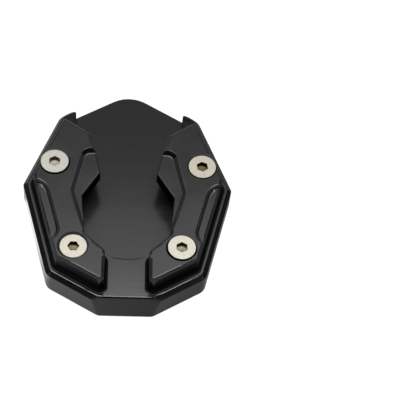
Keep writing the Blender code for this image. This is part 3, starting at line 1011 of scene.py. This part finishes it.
@dataclass
class Studio:
    """Camera, floor, room and lights."""

    place: tuple = (-8.252 * MM, -300.03 * MM, 447.09 * MM)
    azimuth: float = math.radians(8.376)
    elevation: float = math.radians(55.846)
    roll: float = math.radians(8.712)
    lens: float = 104.909
    sensor: float = 36.0
    clip: tuple = (0.01, 20.0)
    table_radius: float = 3.0
    table_sides: int = 96
    softboxes: tuple = (
        Softbox("rear_softbox", (0.0, 0.82, 1.1), (2.0, 0.36), 0.6),
        Softbox("main_softbox", (0.0, 0.46, 1.12), (2.0, 0.36), 1.9),
        Softbox("top_softbox", (0.0, 0.08, 1.15), (1.6, 0.4), 9.0),
    )

    def set_camera(self) -> None:
        """Put the camera where the photograph was taken from."""
        back = Vector((
            -math.sin(self.azimuth) * math.cos(self.elevation),
            -math.cos(self.azimuth) * math.cos(self.elevation),
            math.sin(self.elevation),
        ))
        right = (-back).cross(Vector((0.0, 0.0, 1.0))).normalized()
        up = back.cross(right)
        right, up = (
            math.cos(self.roll) * right + math.sin(self.roll) * up,
            math.cos(self.roll) * up - math.sin(self.roll) * right,
        )
        data = bpy.data.cameras.new("camera")
        data.sensor_fit = "HORIZONTAL"
        data.sensor_width = self.sensor
        data.lens = self.lens
        data.clip_start, data.clip_end = self.clip
        camera = add_object("camera", data)
        camera.matrix_world = Matrix.Translation(Vector(self.place)) @ Matrix((right, up, back)).transposed().to_4x4()
        bpy.context.scene.camera = camera

    def lay_table(self) -> None:
        """Lay the white table under the part."""
        bm = bmesh.new()
        bmesh.ops.create_circle(bm, cap_ends=True, segments=self.table_sides, radius=self.table_radius)
        mesh = bpy.data.meshes.new("table")
        bm.to_mesh(mesh)
        bm.free()
        mesh.materials.append(FloorFinish().material())
        floor = add_object("table", mesh)

    def build(self) -> None:
        """Set up the whole studio."""
        self.set_camera()
        self.lay_table()
        Room().build()
        for softbox in self.softboxes:
            softbox.hang()
        view = bpy.context.scene.view_settings
        view.view_transform = "Standard"
        view.look = "None"


@dataclass(frozen=True)
class Seat:
    """How one screw sits in its countersink."""

    turn: float
    width: float
    rise: float
    age: float
    shift: tuple = (0.0, 0.0)


@dataclass
class Fasteners:
    """The four countersunk hexagon-socket screws, each tightened a little differently."""

    head_radius: float = 6.0 * MM
    rim: float = 0.3 * MM
    rim_edge: float = 0.15 * MM
    length: float = 20.0 * MM
    shank_radius: float = 3.0 * MM
    tip_radius: float = 2.3 * MM
    pitch: float = 1.0 * MM
    thread_depth: float = 0.5 * MM
    socket_width: float = 4.6 * MM
    socket_depth: float = 2.6 * MM
    drill_depth: float = 0.8 * MM
    drill_share: float = 0.46
    drill_sides: int = 24
    segments: int = 48
    rings: int = 200
    sharp: float = math.radians(35)
    seats: dict = field(default_factory=lambda: {
        "screw_left_rear": Seat(math.radians(31), 1.005, 0.5 * MM, 0.0, (-0.15 * MM, 0.1 * MM)),
        "screw_right_rear": Seat(math.radians(38), 1.0, 0.05 * MM, 1.0),
        # The left front screw sits deepest; its value of 0.85 partly paints the deeper shade of its socket.
        "screw_left_front": Seat(math.radians(1), 0.945, -0.5 * MM, 0.85, (0.2 * MM, -0.15 * MM)),
        "screw_right_front": Seat(math.radians(31), 0.975, 0.45 * MM, 0.6, (0.1 * MM, 0.1 * MM)),
    })

    def places(self) -> bpy.types.Object:
        """Put one vertex at the middle of each screw.

        Returns:
            An object whose vertices carry the screw's turn, width and age.
        """
        spots = []
        for name, seat in self.seats.items():
            low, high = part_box(name)
            spots.append((
                (low[0] + high[0]) / 2 + seat.shift[0],
                (low[1] + high[1]) / 2 + seat.shift[1],
                high[2] - self.length / 2 + seat.rise,
            ))
        mesh = bpy.data.meshes.new("screw_places")
        mesh.from_pydata(spots, [], [])
        for label in ("turn", "width", "age"):
            layer = mesh.attributes.new(label, "FLOAT", "POINT")
            for index, seat in enumerate(self.seats.values()):
                layer.data[index].value = getattr(seat, label)
        return add_object("countersunk_screws", mesh)

    def turned_radius(self, tree: Tree, size: bpy.types.NodeOutputs) -> tuple:
        """Work out the screw's radius from the depth below the top of its head.

        Args:
            tree: Tree that takes the nodes.
            size: Group inputs with the sizes.

        Returns:
            Sockets for the radius and the depth, and those for the parts of the position.
        """
        calculate = partial(math_node, tree)
        parts = split(tree, add_node(tree, "GeometryNodeInputPosition").outputs["Position"])
        depth = calculate("SUBTRACT", calculate("MULTIPLY", size["Length"], 0.5), parts["Z"])
        cone = calculate("MAXIMUM", calculate("SUBTRACT", depth, size["Rim"]), 0.0)
        short = calculate("MAXIMUM", calculate("SUBTRACT", size["Rim Edge"], depth), 0.0)
        bend = calculate("DIVIDE", calculate("MULTIPLY", short, short), size["Rim Edge"])
        head = calculate("SUBTRACT", calculate("SUBTRACT", size["Head Radius"], cone), bend)
        turns = calculate("DIVIDE", calculate("ARCTAN2", parts["Y"], parts["X"]), math.tau)
        phase = calculate("FRACT", calculate("ADD", calculate("DIVIDE", depth, size["Pitch"]), turns))
        ridge = calculate("ABSOLUTE", calculate("SUBTRACT", calculate("MULTIPLY", phase, 2.0), 1.0))
        thread = calculate("SUBTRACT", size["Shank Radius"], calculate("MULTIPLY", ridge, size["Thread Depth"]))
        left = calculate("SUBTRACT", size["Length"], depth)
        shank = calculate("MINIMUM", thread, calculate("ADD", size["Tip Radius"], left))
        return calculate("MAXIMUM", head, shank), depth, parts

    def marked_screw(self, tree: Tree, size: bpy.types.NodeOutputs) -> Socket:
        """Turn one screw and cut its socket.

        Args:
            tree: Tree that takes the nodes.
            size: Group inputs with the sizes.

        Returns:
            The screw, whose faces say in "finish" which material they get: plain steel, the painted shade of the
            head's rim, or the socket's tone.
        """
        calculate = partial(math_node, tree)
        radius, depth, parts = self.turned_radius(tree, size)
        blank = add_node(tree, "GeometryNodeMeshCylinder", {
            "Vertices": size["Segments"], "Side Segments": size["Rings"], "Radius": 1.0, "Depth": size["Length"],
        }, fill_type="NGON")
        around = {axis: calculate("MULTIPLY", parts[axis], radius) for axis in "XY"}
        place = joined(tree, **around, Z=parts["Z"])
        turned = add_node(tree, "GeometryNodeSetPosition", {"Geometry": blank.outputs["Mesh"], "Position": place})

        corner = calculate("DIVIDE", size["Socket Width"], math.sqrt(3))
        top = calculate("MULTIPLY", size["Length"], 0.5)
        punch = add_node(tree, "GeometryNodeMeshCylinder", {
            "Vertices": 6, "Radius": corner, "Depth": calculate("MULTIPLY", size["Socket Depth"], 2.0),
        }, fill_type="NGON")
        drill = add_node(tree, "GeometryNodeMeshCone", {
            "Vertices": self.drill_sides,
            "Radius Top": calculate("MULTIPLY", size["Socket Width"], self.drill_share),
            "Radius Bottom": 0.0,
            "Depth": size["Drill Depth"],
        }, fill_type="NGON")
        bottom = calculate("SUBTRACT", top, size["Socket Depth"])
        cuts = add_node(
            tree, "GeometryNodeMeshBoolean", {"Mesh 1": turned.outputs["Geometry"]},
            operation="DIFFERENCE", solver="EXACT")
        for tool, level in ((punch, top), (drill, calculate("SUBTRACT", bottom, size["Drill Depth"]))):
            inputs = {"Geometry": tool.outputs["Mesh"], "Translation": joined(tree, Z=level)}
            feed(tree, cuts, {"Mesh 2": add_node(tree, "GeometryNodeTransform", inputs).outputs["Geometry"]})

        flat = joined(tree, X=parts["X"], Y=parts["Y"])
        off_axis = add_node(tree, "ShaderNodeVectorMath", {0: flat}, operation="LENGTH").outputs["Value"]
        below = calculate("GREATER_THAN", depth, self.rim_edge / 2)
        in_head = calculate("MULTIPLY", below, calculate("LESS_THAN", depth, self.head_radius))
        in_socket = calculate("MULTIPLY", calculate("LESS_THAN", off_axis, corner), in_head)
        inputs = {
            "Geometry": cuts.outputs["Mesh"], "Name": "finish", "Value": calculate("ADD", in_head, in_socket),
        }
        marked = add_node(tree, "GeometryNodeStoreNamedAttribute", inputs, data_type="FLOAT", domain="FACE")
        return marked.outputs["Geometry"]

    def tree(self, values: dict) -> Tree:
        """Build the node tree that turns, sockets and places the screws.

        Args:
            values: Sizes, counts and finishes by the names of the tree's inputs.

        Returns:
            The tree.
        """
        tree = bpy.data.node_groups.new("countersunk_screw_set", "GeometryNodeTree")
        kinds = {float: "NodeSocketFloat", int: "NodeSocketInt", bpy.types.Material: "NodeSocketMaterial"}
        tree.interface.new_socket(name="Geometry", in_out="INPUT", socket_type="NodeSocketGeometry")
        for label, value in values.items():
            tree.interface.new_socket(name=label, in_out="INPUT", socket_type=kinds[type(value)])
        tree.interface.new_socket(name="Geometry", in_out="OUTPUT", socket_type="NodeSocketGeometry")
        size = tree.nodes.new("NodeGroupInput").outputs
        width = named_value(tree, "width")
        spread = add_node(tree, "GeometryNodeInstanceOnPoints", {
            "Points": size["Geometry"],
            "Instance": self.marked_screw(tree, size),
            "Rotation": joined(tree, Z=named_value(tree, "turn")),
            "Scale": joined(tree, X=width, Y=width, Z=1.0),
        })
        real = add_node(tree, "GeometryNodeRealizeInstances", {"Geometry": spread.outputs["Instances"]})
        last = real.outputs["Geometry"]
        mark = named_value(tree, "finish")
        # Mark 1 puts painted shade on the head's rim; mark 2 gives the socket its tone.
        for label, level in (("Steel", -0.5), ("Rim Painted Shade", 0.5), ("Socket Finish", 1.5)):
            chosen = math_node(tree, "GREATER_THAN", mark, level)
            inputs = {"Geometry": last, "Selection": chosen, "Material": size[label]}
            last = add_node(tree, "GeometryNodeSetMaterial", inputs).outputs["Geometry"]
        feed(tree, tree.nodes.new("NodeGroupOutput"), {"Geometry": last})
        return tree

    def build(self, shop: Workshop) -> bpy.types.Object:
        """Make the four screws and put them in place of their solids.

        Args:
            shop: The finishes.

        Returns:
            The finished object.
        """
        values = {
            "Head Radius": self.head_radius,
            "Rim": self.rim,
            "Rim Edge": self.rim_edge,
            "Length": self.length,
            "Shank Radius": self.shank_radius,
            "Tip Radius": self.tip_radius,
            "Pitch": self.pitch,
            "Thread Depth": self.thread_depth,
            "Socket Width": self.socket_width,
            "Socket Depth": self.socket_depth,
            "Drill Depth": self.drill_depth,
            "Segments": self.segments,
            "Rings": self.rings,
            "Steel": shop.steel,
            "Rim Painted Shade": shop.rim,
            "Socket Finish": shop.socket,
        }
        piece = self.places()
        modifier = piece.modifiers.new("screws", "NODES")
        modifier.node_group = self.tree(values)
        for item in modifier.node_group.interface.items_tree:
            if item.in_out == "INPUT" and item.name in values:
                modifier[item.identifier] = values[item.name]
        plain = applied(piece)
        piece.modifiers.remove(modifier)
        piece.data = plain
        plain.shade_smooth()
        plain.set_sharp_from_angle(angle=self.sharp)
        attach(piece, ROOT)
        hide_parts(*self.seats)
        return piece


def main() -> None:
    """Build the scene piece by piece."""
    logging.basicConfig(level=logging.INFO, format="%(name)s: %(message)s")
    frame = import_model()
    shop = Workshop()
    pieces = [SolePlate("base_plate", "base_plate").build(frame, shop)]
    clamp = ClampPlate("right_clamp", "clamps")
    pieces += [clamp.build(frame, shop), clamp.twin("left_clamp", shop), Fasteners().build(shop)]
    for piece in pieces:
        LOG.info("%s: %d faces", piece.name, len(piece.data.polygons))
    Studio().build()


if __name__ == "__main__":
    main()
